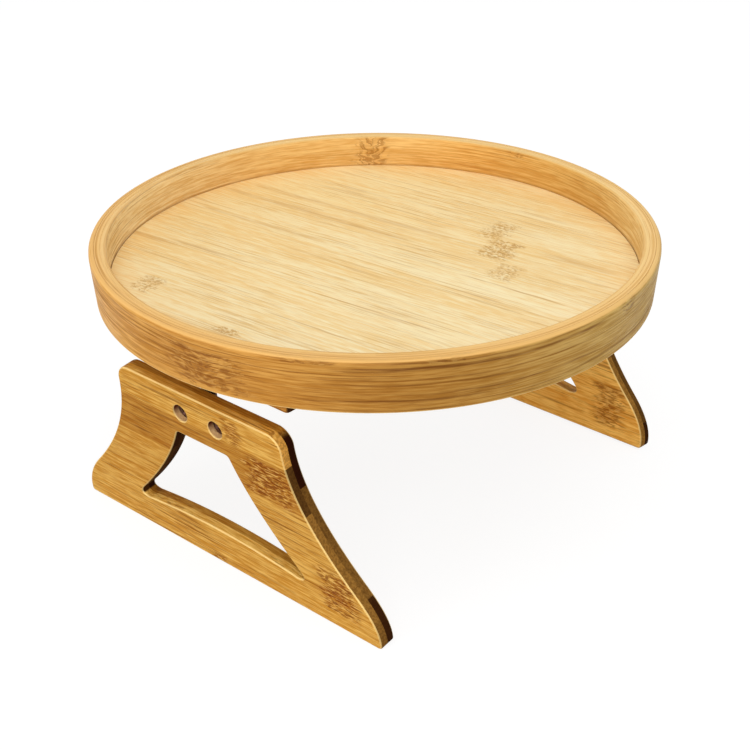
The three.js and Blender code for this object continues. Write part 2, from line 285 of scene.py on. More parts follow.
def piece(name, shape, finish, place, body, node):
    """The shape as an object with its finish, on its body, in place of its solid."""
    mesh = bpy.data.meshes.new(name)
    mesh.from_pydata([point * MM for point in shape.points], [], shape.faces)
    work = bmesh.new()
    work.from_mesh(mesh)
    bmesh.ops.remove_doubles(work, verts=work.verts, dist=WELD_METRES)
    bmesh.ops.recalc_face_normals(work, faces=work.faces)
    work.to_mesh(mesh)
    work.free()
    mesh.polygons.foreach_set("use_smooth", [True] * len(mesh.polygons))
    mesh.set_sharp_from_angle(angle=SHARP_ANGLE)
    mesh.materials.append(finish)
    made = added(name, mesh)
    made.matrix_world = place
    crisp = made.modifiers.new("crisp_faces", "WEIGHTED_NORMAL")
    crisp.keep_sharp = True
    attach(made, body)
    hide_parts(node)


# Finishes

def shown(red, green, blue):
    """A colour written as the eight-bit values that it shows, for a socket."""
    def linear(value):
        part = value / 255
        return part / 12.92 if part <= 0.04045 else ((part + 0.055) / 1.055) ** 2.4
    return (linear(red), linear(green), linear(blue), 1.0)


# Looks of the bamboo: places in millimetres along and across the grain
# Cane nodes: along, across, reach along, reach across, strength
# Long fibres: start, end, across, half width, strength
# Closeness: how fast the fibres change along the grain, one being as in a flat board
# Light and tone drift: start, end, and the shade that multiplies the colour more and more on the way;
# partly painted light, its paler, greyer stretches standing for light and sheen across the wall
# Seam: degrees round the rim to the joint of a bent strip, half a turn from along zero

OUTER_JOINTS = [-18.6, -39.0, -60.0, -80.0]
INNER_JOINTS = [-29.0, -50.0, -72.0]
RIM_GRAIN_RADIUS = 0.12
FLOOR_GRAIN_TURN = math.radians(4.6)
FLOOR_STRIPS = {"Strip Width": 0.0183, "Start": 0.0148, "Layer": 0.1, "Seed": 3.0}
BOARD_STRIPS = {"Strip Width": 0.0204, "Start": 0.004, "Layer": 0.004, "Seed": 11.0}
RIM_LAYERS = {"Strip Width": 0.5, "Start": -0.1, "Layer": 0.00087}
GRAIN_BUMP = {"Strength": 0.5, "Distance": 0.0003}
SAWN_ROUGHNESS = 0.5
SEED_STEPS = (1.0, 0.37, 0.61)
CONTACT_SHADE_BAND = (1.1 * MM, 0.3 * MM)
RECESS_MIDDLE = -SCREW_REACH * MM
RECESS_REACH = (SINK_RADIUS + 0.06) * MM
# Painted shade in the leg recesses: where it starts and ends up the wall, and its colour
RECESS_SHADE_START = -0.85 * SINK_RADIUS * MM
RECESS_SHADE_END = 0.4 * SINK_RADIUS * MM
END_DARK = shown(44, 16, 4)
END_PALE = shown(222, 160, 72)
# Pale arrises: partly rubbed wear, partly a painted highlight
ARRIS_PALE = shown(254, 218, 142)
TOP_LIFT = (1.12, 1.24, 1.45, 1.0)
INNER_LAYER = (0.62, 0.52, 0.36, 1.0)
SAWN_EDGE = (1.26, 1.34, 1.5, 1.0)
FRESH_CUT = shown(238, 196, 140)
RECESS_PAINTED_SHADE = shown(88, 34, 18)
LEG_COLOURS = {
    "pale": shown(237, 190, 99),
    "deep": shown(201, 140, 50),
    "line": shown(112, 48, 0),
    "stain": shown(158, 88, 12),
    "glint": shown(252, 208, 122),
    "strip": (0.50, 0.32, 0.10, 1.0),
    "hairlines": 0.55,
    "pores": 0.3,
    "gloss": 0.03,
    "node_marks": 0.75,
    "node_glints": 0.4,
    "node_stain": 0.7,
    "closeness": 1.0,
    "crumbs": (260, 1250, 1250),
    "curl": 0.15,
    "slant": 0.0,
}
RIM_COLOURS = {
    "glint": shown(240, 190, 108),
    "pores": 0.26,
    "gloss": 0.12,
    "closeness": 0.75,
}
BAMBOO_LOOKS = {
    "floor": {
        "pale": shown(255, 238, 190),
        "deep": shown(247, 214, 149),
        "line": shown(190, 136, 58),
        "stain": shown(228, 182, 104),
        "glint": shown(255, 242, 200),
        "strip": (0.99, 0.88, 0.70, 1.0),
        "hairlines": 0.32,
        "pores": 0.03,
        "gloss": 0.20,
        "closeness": 1.0,
        "node_marks": 0.65,
        "node_glints": 0.5,
        "node_stain": 0.55,
        "crumbs": (520, 940, 940),
        "curl": 0.5,
        "slant": 0.0,
        "seed": 0.31,
        "nodes": [
            (-28.8, 57.0, 8, 10.4, 0.85),
            (-40.3, 39.5, 9.5, 11.0, 1.0),
            (-55.8, 20.6, 8, 8.4, 0.7),
            (64.5, -78.1, 7, 8.0, 0.8),
            (7.4, -91.7, 8, 2.6, 0.9),
        ],
        "fibres": [
            (-99, -37, 7.6, 0.5, 0.6),
            (-98, -31, -6.7, 0.4, 0.5),
            (-67, 8, -43.5, 0.5, 0.6),
            (-55, 6, -69.0, 0.5, 0.5),
            (-20, 108, 37.0, 2.2, 0.35),
            (-4, 115, 25.0, 1.8, 0.35),
            (26, 110, 1.5, 1.8, 0.3),
            (53, 93, -37.0, 0.6, 0.4),
            (-102, -54, 47.0, 3.0, 0.3),
        ],
    },
    "rim_outer": {
        **RIM_COLOURS,
        "pale": shown(208, 151, 72),
        "deep": shown(177, 117, 41),
        "line": shown(112, 56, 4),
        "hairlines": 0.48,
        "stain": shown(146, 88, 22),
        "top": shown(238, 188, 112),
        "top_deep": shown(204, 146, 70),
        "node_marks": 0.5,
        "node_glints": 0.25,
        "node_stain": 0.6,
        "crumbs": (230, 800, 800),
        "curl": 0.3,
        "slant": 0.15,
        "seed": 5.0,
        "seam": 41,
        "nodes": [
            (-66, 10, 20, 9, 0.9),
            (113, 20, 6, 3, 0.8),
            (-25, 22.4, 14, 1.7, 1.0),
            (26, 22.4, 11, 1.6, 0.9),
        ],
        "fibres": [
            (-17, 100, 19.4, 0.6, 0.8),
            (-23, 58, 12.2, 0.45, 0.6),
            (-35, 36, 5.4, 0.5, 0.7),
            (9, 98, 7.6, 0.4, 0.6),
            (-31, 90, 14.4, 0.35, 0.5),
            (0, 97, 21.6, 0.4, 0.5),
            (-151, -98, 20.4, 0.5, 0.5),
        ],
        "light_and_tone_drift": [
            (-65, -150, (1.30, 1.46, 1.85, 1.0)),
            (-50, 20, (0.74, 0.73, 0.64, 1.0)),
            (0, 130, (1.45, 2.0, 3.3, 1.0)),
        ],
    },
    "rim_core": {
        **RIM_COLOURS,
        "pale": shown(240, 194, 118),
        "deep": shown(214, 158, 80),
        "line": shown(150, 96, 36),
        "hairlines": 0.66,
        "stain": shown(180, 120, 50),
        "top": shown(243, 196, 122),
        "top_deep": shown(212, 156, 80),
        "node_marks": 0.6,
        "node_glints": 0.3,
        "node_stain": 0.6,
        "crumbs": (130, 380, 380),
        "curl": 0.5,
        "slant": 0.3,
        "seed": 9.0,
        "seam": 100,
        "nodes": [(40, 12, 7, 7, 0.8)],
        "fibres": [],
        "light_and_tone_drift": [(40, 170, (1.1, 1.2, 1.4, 1.0))],
    },
    "rim_inner": {
        **RIM_COLOURS,
        "pale": shown(245, 203, 130),
        "deep": shown(220, 166, 88),
        "line": shown(158, 100, 32),
        "hairlines": 0.38,
        "contact_shade": 0.3,
        "stain": shown(204, 146, 68),
        "top": shown(242, 196, 122),
        "top_deep": shown(212, 156, 80),
        "node_marks": 0.58,
        "node_glints": 0.45,
        "node_stain": 0.5,
        "crumbs": (110, 400, 400),
        "curl": 0.7,
        "slant": 0.95,
        "seed": 13.0,
        "seam": 221,
        "nodes": [(1, 15, 10, 9, 1.0), (-78, 21.5, 6, 2, 0.9)],
        "fibres": [],
        "light_and_tone_drift": [
            (40, 170, (1.12, 1.40, 2.15, 1.0)),
            (-10, -60, (0.96, 0.88, 0.72, 1.0)),
            (-40, -130, (0.86, 0.90, 0.92, 1.0)),
            (-120, -180, (1.15, 1.35, 1.9, 1.0)),
        ],
    },
    "board": {
        "pale": shown(216, 158, 74),
        "deep": shown(168, 108, 34),
        "line": shown(122, 70, 16),
        "stain": shown(164, 104, 36),
        "glint": shown(240, 192, 110),
        "strip": (0.70, 0.56, 0.36, 1.0),
        "hairlines": 0.6,
        "pores": 0.24,
        "gloss": 0.12,
        "closeness": 1.0,
        "node_marks": 0.8,
        "node_glints": 0.4,
        "node_stain": 0.6,
        "crumbs": (300, 950, 950),
        "curl": 0.2,
        "slant": 0.0,
        "seed": 1.7,
        "nodes": [(-18, 44, 8, 9, 0.9), (16, -38, 8, 9, 0.9)],
        "fibres": [],
    },
    "left_leg": {
        **LEG_COLOURS,
        "seed": 21.0,
        "outer_faces": [0.80, 0.26, 0.66, 0.78, 0.90],
        "inner_faces": [0.7, 0.85, 0.75, 0.7],
        "outer_ends": [0.82, 0.10, 0.34, 0.32, 0.25],
        "inner_ends": [0.0, 0.19, 0.22, 0.02],
        "nodes": [
            (39, -29, 17, 10, 1.0),
            (70, -73, 13, 12, 1.0),
            (20, -12, 6, 6.5, 0.7),
            (-2, -90, 5, 2.5, 0.9),
        ],
        "fibres": [
            (-45, -12, -24.0, 0.6, 0.6),
            (-50, -18, -28.0, 0.5, 0.5),
            (-53, -24, -35.0, 0.6, 0.5),
            (-44, 18, -21.0, 0.5, 0.5),
            (8, 48, -86.0, 0.5, 0.5),
            (-56, -8, -86.5, 0.5, 0.4),
            (-32, 18, -80.5, 0.4, 0.4),
        ],
    },
    "right_leg": {
        **LEG_COLOURS,
        # Painted light: the right leg's pale and deep are lighter than the left leg's, to make up for
        # the shade the tray casts on it
        "pale": shown(250, 194, 98),
        "deep": shown(220, 146, 52),
        "seed": 33.0,
        "outer_faces": [0.75, 0.9, 0.7, 0.85, 0.75],
        "inner_faces": [1.0, 1.0, 1.0, 1.0],
        "outer_ends": [0.3, 0.25, 0.15, 0.12, 0.02],
        "inner_ends": [0.4, 0.45, 0.4, 0.35],
        "nodes": [(-70, -76, 11, 12, 0.7), (31, -45, 9, 10, 0.8), (-20, -14, 6, 6, 0.8)],
        "fibres": [(-60, 20, -84.0, 0.5, 0.5), (-40, 45, -20.0, 0.5, 0.5)],
    },
}


def node(tree, kind, feeds=None, **settings):
    made = tree.nodes.new(kind)
    for name, value in settings.items():
        setattr(made, name, value)
    for socket, feed in (feeds or {}).items():
        if isinstance(feed, bpy.types.NodeSocket):
            tree.links.new(feed, made.inputs[socket])
        else:
            made.inputs[socket].default_value = feed
    return made


def reckon(tree, operation, *values):
    feeds = dict(enumerate(values))
    return node(tree, "ShaderNodeMath", feeds, operation=operation).outputs[0]


def times(tree, one, other):
    return reckon(tree, "MULTIPLY", one, other)


def plus(tree, one, other):
    return reckon(tree, "ADD", one, other)


def less(tree, one, other):
    return reckon(tree, "SUBTRACT", one, other)


def size_of(tree, value):
    return reckon(tree, "ABSOLUTE", value)


def vectors(tree, operation, *values):
    feeds = dict(enumerate(values))
    return node(tree, "ShaderNodeVectorMath", feeds, operation=operation).outputs


def stretch(tree, vector, scale):
    return vectors(tree, "MULTIPLY", vector, scale)[0]


def shift(tree, vector, by):
    return vectors(tree, "ADD", vector, by)[0]


def swing(tree, vector, angle):
    feeds = {"Vector": vector, "Angle": angle}
    return node(tree, "ShaderNodeVectorRotate", feeds, rotation_type="Z_AXIS").outputs[0]


def split(tree, vector):
    return node(tree, "ShaderNodeSeparateXYZ", {0: vector}).outputs


def join(tree, x=0.0, y=0.0, z=0.0):
    return node(tree, "ShaderNodeCombineXYZ", {0: x, 1: y, 2: z}).outputs[0]


def ramp(tree, value, low, high, start=0.0, end=1.0):
    feeds = {"Value": value, "From Min": low, "From Max": high, "To Min": start, "To Max": end}
    made = node(tree, "ShaderNodeMapRange", feeds, interpolation_type="SMOOTHSTEP")
    return made.outputs["Result"]


def cloud(tree, vector, scale, detail=2.0, rough=0.5, warp=0.0):
    """Soft noise that changes scale times in a metre along each axis."""
    feeds = {
        "Vector": stretch(tree, vector, scale),
        "Scale": 1.0,
        "Detail": detail,
        "Roughness": rough,
        "Distortion": warp,
    }
    return node(tree, "ShaderNodeTexNoise", feeds).outputs["Fac"]


def tint(tree, amount, under, over, how="MIX"):
    made = node(tree, "ShaderNodeMix", {0: amount, 6: under, 7: over}, data_type="RGBA", blend_type=how)
    return made.outputs[2]


VECTOR_SOCKETS = {"Grain", "Place", "Centre", "Reach", "Crumbs"}


def new_group(name, takes, gives):
    """A shader node group, the sockets that it takes, and a call that feeds one that it gives."""
    group = bpy.data.node_groups.new(name, "ShaderNodeTree")
    for way, sockets in (("INPUT", takes), ("OUTPUT", gives)):
        for socket in sockets:
            kind = "NodeSocketVector" if socket in VECTOR_SOCKETS else "NodeSocketFloat"
            group.interface.new_socket(socket, in_out=way, socket_type=kind)
    source = group.nodes.new("NodeGroupInput").outputs
    sink = group.nodes.new("NodeGroupOutput").inputs

    def give(socket, value):
        group.links.new(value, sink[socket])

    return group, source, give


def bamboo_fibre_group():
    """Tone of the fibres that run along the first axis of Grain, in metres, with hairlines and pores."""
    gives = ["Tone", "Fibres", "Hairlines", "Pores"]
    group, take, give = new_group("bamboo_fibre", ["Grain"], gives)
    sway = cloud(group, take["Grain"], (8, 26, 26))
    aside = times(group, less(group, sway, 0.5), 0.0024)
    grain = shift(group, take["Grain"], join(group, y=aside, z=aside))
    broad = cloud(group, grain, (4, 75, 75))
    streaks = cloud(group, grain, (15, 430, 430), 3, 0.6)
    fibres = cloud(group, grain, (46, 1100, 1100), 2, 0.6)
    flecks = cloud(group, grain, (150, 1250, 1250), 1)
    long = plus(group, times(group, broad, 0.24), times(group, streaks, 0.16))
    short = plus(group, times(group, fibres, 0.36), times(group, flecks, 0.24))
    tone = plus(group, long, short)
    patches = ramp(group, cloud(group, grain, (11, 70, 70), 1), 0.36, 0.60)
    threads = ramp(group, cloud(group, grain, (24, 1100, 1100)), 0.55, 0.62)
    pores = ramp(group, cloud(group, grain, (150, 2600, 2600), 1), 0.58, 0.72)
    give("Tone", ramp(group, tone, 0.40, 0.60))
    give("Fibres", ramp(group, fibres, 0.30, 0.70))
    give("Hairlines", times(group, threads, patches))
    give("Pores", pores)
    return group


def long_fibre_group():
    """One dark fibre from Start to End along the grain, at Across, Half its width to each side."""
    takes = ["Grain", "Start", "End", "Across", "Half"]
    group, take, give = new_group("long_fibre", takes, ["Fibre"])
    parts = split(group, take["Grain"])
    waver = times(group, less(group, cloud(group, take["Grain"], (26, 60, 60)), 0.5), 0.003)
    off = size_of(group, less(group, plus(group, parts[1], waver), take["Across"]))
    thin = ramp(group, off, times(group, take["Half"], 1.5), times(group, take["Half"], 0.2))
    begun = ramp(group, parts[0], take["Start"], plus(group, take["Start"], 0.014))
    ended = ramp(group, parts[0], take["End"], less(group, take["End"], 0.014))
    broken = ramp(group, cloud(group, take["Grain"], (60, 900, 900)), 0.35, 0.6, 0.4, 1.0)
    give("Fibre", times(group, times(group, thin, broken), times(group, begun, ended)))
    return group


def bamboo_strip_group():
    """Tone of each strip that a board is glued up from, and the thin joints between them."""
    takes = ["Grain", "Strip Width", "Start", "Layer", "Seed"]
    group, take, give = new_group("bamboo_strips", takes, ["Tone", "Joint"])
    parts = split(group, take["Grain"])
    layer = reckon(group, "FLOOR", reckon(group, "DIVIDE", parts[2], take["Layer"]))
    across = reckon(group, "DIVIDE", less(group, parts[1], take["Start"]), take["Strip Width"])
    across = plus(group, across, times(group, layer, 0.5))
    strip = reckon(group, "FLOOR", across)
    place = join(group, strip, layer, take["Seed"])
    tone = node(group, "ShaderNodeTexWhiteNoise", {"Vector": place}).outputs["Value"]
    off = size_of(group, less(group, less(group, across, strip), 0.5))
    give("Tone", tone)
    give("Joint", ramp(group, off, 0.485, 0.498))
    return group


def cane_node_group():
    """Crumbs and stain of one node of the cane, round Centre and within Reach of it."""
    takes = ["Grain", "Centre", "Reach", "Crumbs", "Curl", "Slant", "Strength"]
    group, take, give = new_group("cane_node", takes, ["Marks", "Glints", "Stain"])
    off = vectors(group, "SUBTRACT", take["Grain"], take["Centre"])[0]
    parts = split(group, vectors(group, "DIVIDE", off, take["Reach"])[0])
    jag = less(group, cloud(group, take["Grain"], (90, 420, 420)), 0.5)
    ahead = plus(group, size_of(group, parts[0]), times(group, jag, 1.5))
    aside = plus(group, size_of(group, parts[1]), times(group, jag, 0.5))
    inside = times(group, ramp(group, ahead, 1.05, 0.45), ramp(group, aside, 1.05, 0.8))
    inside = times(group, inside, take["Strength"])
    wander = plus(group, split(group, off)[0], times(group, jag, 0.012))
    lean = times(group, size_of(group, wander), take["Slant"])
    leaning = shift(group, take["Grain"], join(group, y=times(group, lean, -1.0)))
    crumbs = cloud(group, leaning, take["Crumbs"], 2, 0.55, take["Curl"])
    blots = ramp(group, cloud(group, take["Grain"], (110, 260, 260)), 0.35, 0.65)
    give("Marks", times(group, inside, ramp(group, crumbs, 0.50, 0.56)))
    give("Glints", times(group, inside, ramp(group, crumbs, 0.44, 0.38)))
    give("Stain", times(group, inside, blots))
    return group


def rim_grain_group():
    """Grain that runs round the rim: along it, up it and out from it, with the strip's joint at Seam."""
    group, take, give = new_group("rim_grain", ["Place", "Seam"], ["Grain"])
    parts = split(group, swing(group, take["Place"], less(group, math.pi, take["Seam"])))
    around = times(group, reckon(group, "ARCTAN2", parts[1], parts[0]), RIM_GRAIN_RADIUS)
    out = vectors(group, "LENGTH", join(group, parts[0], parts[1]))["Value"]
    give("Grain", join(group, around, parts[2], out))
    return group


def lacquer_group():
    """Roughness of a rubbed lacquer over bamboo, and the height of its grain."""
    takes = ["Grain", "Fibres", "Hairlines", "Marks", "Glints"]
    group, take, give = new_group("lacquer", takes, ["Roughness", "Height"])
    soft = ramp(group, cloud(group, take["Grain"], (60, 60, 60), 3), 0.3, 0.7, 0.38, 0.5)
    matt = plus(group, times(group, take["Fibres"], 0.08), times(group, take["Hairlines"], 0.12))
    give("Roughness", plus(group, soft, matt))
    sunk = plus(group, times(group, take["Hairlines"], 0.5), take["Marks"])
    raised = less(group, times(group, take["Glints"], 0.6), times(group, take["Fibres"], 0.4))
    give("Height", less(group, raised, sunk))
    return group


def plating_group():
    """Fine rolling lines and dull patches of plated steel."""
    group, take, give = new_group("plating", ["Place"], ["Shade", "Roughness"])
    lines = cloud(group, take["Place"], (9000, 260, 9000))
    dull = cloud(group, take["Place"], (240, 240, 240), 3)
    shade = plus(group, times(group, lines, 0.35), times(group, dull, 0.65))
    give("Shade", shade)
    give("Roughness", ramp(group, shade, 0.3, 0.7, 0.3, 0.5))
    return group


FIBRE = bamboo_fibre_group()
LONG_FIBRE = long_fibre_group()
STRIPS = bamboo_strip_group()
CANE_NODE = cane_node_group()
RIM_GRAIN = rim_grain_group()
LACQUER = lacquer_group()
PLATING = plating_group()


def put(tree, group, feeds):
    """A node group placed in a material, with what feeds it; its outputs."""
    return node(tree, "ShaderNodeGroup", feeds, node_tree=group).outputs


def empty_tree(owner):
    owner.use_nodes = True
    owner.node_tree.nodes.clear()
    return owner.node_tree


def new_finish(name):
    finish = bpy.data.materials.new(name)
    tree = empty_tree(finish)
    shader = tree.nodes.new("ShaderNodeBsdfPrincipled")
    sink = tree.nodes.new("ShaderNodeOutputMaterial")
    tree.links.new(shader.outputs[0], sink.inputs["Surface"])
    place = tree.nodes.new("ShaderNodeTexCoord").outputs
    return finish, tree, shader, place


def strongest(tree, one, other):
    return other if one is None else reckon(tree, "MAXIMUM", one, other)


def cane_nodes(tree, grain, look):
    """Dark marks, light glints and stain of a piece's cane nodes, by name."""
    found = {}
    for along, across, reach_along, reach_across, strength in look["nodes"]:
        feeds = {
            "Grain": grain,
            "Centre": (along * MM, across * MM, 0),
            "Reach": (reach_along * MM, reach_across * MM, 1),
            "Crumbs": look["crumbs"],
            "Curl": look["curl"],
            "Slant": look["slant"],
            "Strength": strength,
        }
        out = put(tree, CANE_NODE, feeds)
        for sign in ("Marks", "Glints", "Stain"):
            found[sign] = strongest(tree, found.get(sign), out[sign])
    return found


def long_fibres(tree, grain, look, colour):
    """The colour with a piece's darkest single fibres drawn over it."""
    dark = None
    for start, end, across, half, strength in look["fibres"]:
        feeds = {
            "Grain": grain,
            "Start": start * MM,
            "End": end * MM,
            "Across": across * MM,
            "Half": half * MM,
        }
        dark = strongest(tree, dark, times(tree, put(tree, LONG_FIBRE, feeds)[0], strength))
    return colour if dark is None else tint(tree, dark, colour, look["line"])


def bamboo(tree, shader, grain, look, tone=None, sawn=None):
    """The colour of bamboo and its fibres, with its lacquer on the shader."""
    drawn_out = stretch(tree, grain, (look["closeness"], 1, 1))
    moved = shift(tree, drawn_out, [look["seed"] * step for step in SEED_STEPS])
    fibre = put(tree, FIBRE, {"Grain": moved})
    colour = tint(tree, fibre["Tone"], look["pale"], look["deep"])
    colour = tint(tree, times(tree, fibre["Hairlines"], look["hairlines"]), colour, look["line"])
    colour = tint(tree, times(tree, fibre["Pores"], look["pores"]), colour, look["line"])
    colour = long_fibres(tree, grain, look, colour)
    if tone is not None:
        colour = tint(tree, less(tree, 1.0, tone), colour, look["strip"], "MULTIPLY")
    found = cane_nodes(tree, grain, look)
    colour = tint(tree, times(tree, found["Stain"], look["node_stain"]), colour, look["stain"])
    colour = tint(tree, times(tree, found["Marks"], look["node_marks"]), colour, look["line"])
    colour = tint(tree, times(tree, found["Glints"], look["node_glints"]), colour, look["glint"])
    feeds = {
        "Grain": moved,
        "Fibres": fibre["Fibres"],
        "Hairlines": fibre["Hairlines"],
        "Marks": found["Marks"],
        "Glints": found["Glints"],
    }
    coat = put(tree, LACQUER, feeds)
    bump = node(tree, "ShaderNodeBump", {"Height": coat["Height"], **GRAIN_BUMP})
    rough = coat["Roughness"]
    if sawn is not None:
        rough = plus(tree, rough, times(tree, sawn, SAWN_ROUGHNESS))
    tree.links.new(rough, shader.inputs["Roughness"])
    tree.links.new(bump.outputs[0], shader.inputs["Normal"])
    shader.inputs["Specular IOR Level"].default_value = look["gloss"]
    return colour, fibre


def floor_bamboo():
    finish, tree, shader, place = new_finish("floor_bamboo")
    look = BAMBOO_LOOKS["floor"]
    parts = split(tree, swing(tree, place["Object"], -FLOOR_GRAIN_TURN))
    grain = join(tree, parts[1], parts[0], parts[2])
    strips = put(tree, STRIPS, {"Grain": grain, **FLOOR_STRIPS})
    nearer = plus(tree, parts[1], times(tree, parts[0], 0.5))
    forward = ramp(tree, nearer, 0.1, -0.1, 0.0, 0.6)
    tone = plus(tree, times(tree, strips["Tone"], 0.45), forward)
    colour = bamboo(tree, shader, grain, look, tone)[0]
    colour = tint(tree, times(tree, strips["Joint"], 0.12), colour, look["line"])
    tree.links.new(colour, shader.inputs["Base Color"])
    return finish


def rim_bamboo(ply):
    """Bamboo bent round the rim: its colour drifts along the strip, partly as painted light and sheen,
    and its layers show on top; its lower arrises are pale with wear and a painted highlight, and painted
    shade runs along the inner ply's foot.
    """
    finish, tree, shader, place = new_finish(f"{ply}_bamboo")
    look = BAMBOO_LOOKS[ply]
    feeds = {"Place": place["Object"], "Seam": math.radians(look["seam"])}
    grain = put(tree, RIM_GRAIN, feeds)[0]
    strips = put(tree, STRIPS, {"Grain": grain, "Seed": look["seed"], **RIM_LAYERS})
    colour, fibre = bamboo(tree, shader, grain, look)
    along = split(tree, grain)[0]
    off_seam = ramp(tree, size_of(tree, along), 0.32, 0.14)
    # Partly painted light: the drift's paler, greyer stretches stand for light and sheen falling across
    # the wall, besides the strip's own changes in tone
    for start, end, shade in look["light_and_tone_drift"]:
        amount = times(tree, ramp(tree, along, start * MM, end * MM), off_seam)
        colour = tint(tree, amount, colour, shade, "MULTIPLY")
    up = split(tree, place["Normal"])[2]
    layers = ramp(tree, strips["Tone"], 0.2, 0.8, 0.0, 0.7)
    layers = plus(tree, layers, times(tree, fibre["Hairlines"], 0.5))
    edge = tint(tree, layers, look["top"], look["top_deep"])
    paler_side = ramp(tree, split(tree, place["Object"])[0], -0.1, 0.1)
    edge = tint(tree, paler_side, edge, TOP_LIFT, "MULTIPLY")
    colour = tint(tree, times(tree, ramp(tree, up, 0.3, 0.85), 0.85), colour, edge)
    # Pale lower arrises: rubbed wear with a painted highlight
    worn_and_highlit = times(tree, ramp(tree, up, -0.1, -0.4), ramp(tree, up, -0.98, -0.85))
    colour = tint(tree, times(tree, worn_and_highlit, 0.6), colour, ARRIS_PALE)
    # Painted shade: a thin dark band along the inner ply's foot, in the crease where it meets the floor
    if "contact_shade" in look:
        over_floor = less(tree, split(tree, place["Object"])[2], FLOOR_THICKNESS * MM)
        contact_shade_amount = times(tree, ramp(tree, over_floor, *CONTACT_SHADE_BAND), look["contact_shade"])
        colour = tint(tree, contact_shade_amount, colour, look["line"])
    tree.links.new(colour, shader.inputs["Base Color"])
    return finish


def worn_and_highlit_arris(tree, facing):
    """One along the eased arrises of a board, where pale wear and a painted highlight go; facing is the
    part of the normal that goes through it.
    """
    side = size_of(tree, facing)
    return times(tree, ramp(tree, side, 0.2, 0.45), ramp(tree, side, 0.98, 0.85))


def board_bamboo():
    """Its grain runs from front to back, so the ends of the strips show on its long sides."""
    finish, tree, shader, place = new_finish("board_bamboo")
    look = BAMBOO_LOOKS["board"]
    parts = split(tree, place["Object"])
    grain = join(tree, parts[1], parts[0], parts[2])
    strips = put(tree, STRIPS, {"Grain": grain, **BOARD_STRIPS})
    tone = ramp(tree, strips["Tone"], 0.0, 1.0, 0.4, 1.0)
    facing = split(tree, place["Normal"])
    end = ramp(tree, size_of(tree, facing[1]), 0.35, 0.85)
    colour = bamboo(tree, shader, grain, look, tone, end)[0]
    colour = tint(tree, times(tree, strips["Joint"], 0.5), colour, look["line"])
    ends = tint(tree, times(tree, strips["Tone"], 0.4), END_DARK, END_PALE)
    colour = tint(tree, end, colour, ends)
    # Pale arrises: rubbed wear with a painted highlight
    colour = tint(tree, times(tree, worn_and_highlit_arris(tree, facing[2]), 0.3), colour, ARRIS_PALE)
    tree.links.new(colour, shader.inputs["Base Color"])
    return finish


def leg_strip_tones(tree, height, joints, tones):
    """Tone of each strip of one layer of a leg, from the top down; joints are heights in millimetres."""
    feeds = {"Value": height, "From Min": LEG_BOTTOM * MM, "From Max": LEG_TOP * MM}
    part = node(tree, "ShaderNodeMapRange", feeds).outputs["Result"]
    made = node(tree, "ShaderNodeValToRGB", {"Fac": part})
    stops = made.color_ramp
    stops.interpolation = "CONSTANT"
    stops.elements.remove(stops.elements[-1])
    edges = [0.0] + [(joint - LEG_BOTTOM) / (LEG_TOP - LEG_BOTTOM) for joint in reversed(joints)]
    for i, (edge, tone) in enumerate(zip(edges, reversed(tones))):
        stop = stops.elements[0] if i == 0 else stops.elements.new(edge)
        stop.position = edge
        stop.color = (tone, tone, tone, 1.0)
    return made.outputs[0]


def inside_recess(tree, own):
    """One in the drilled recesses of a leg, by a piece's own place."""
    aside = less(tree, size_of(tree, own[1]), SCREW_SPREAD[1] * MM)
    above = less(tree, own[2], RECESS_MIDDLE)
    away = vectors(tree, "LENGTH", join(tree, aside, above))["Value"]
    return reckon(tree, "LESS_THAN", away, RECESS_REACH)


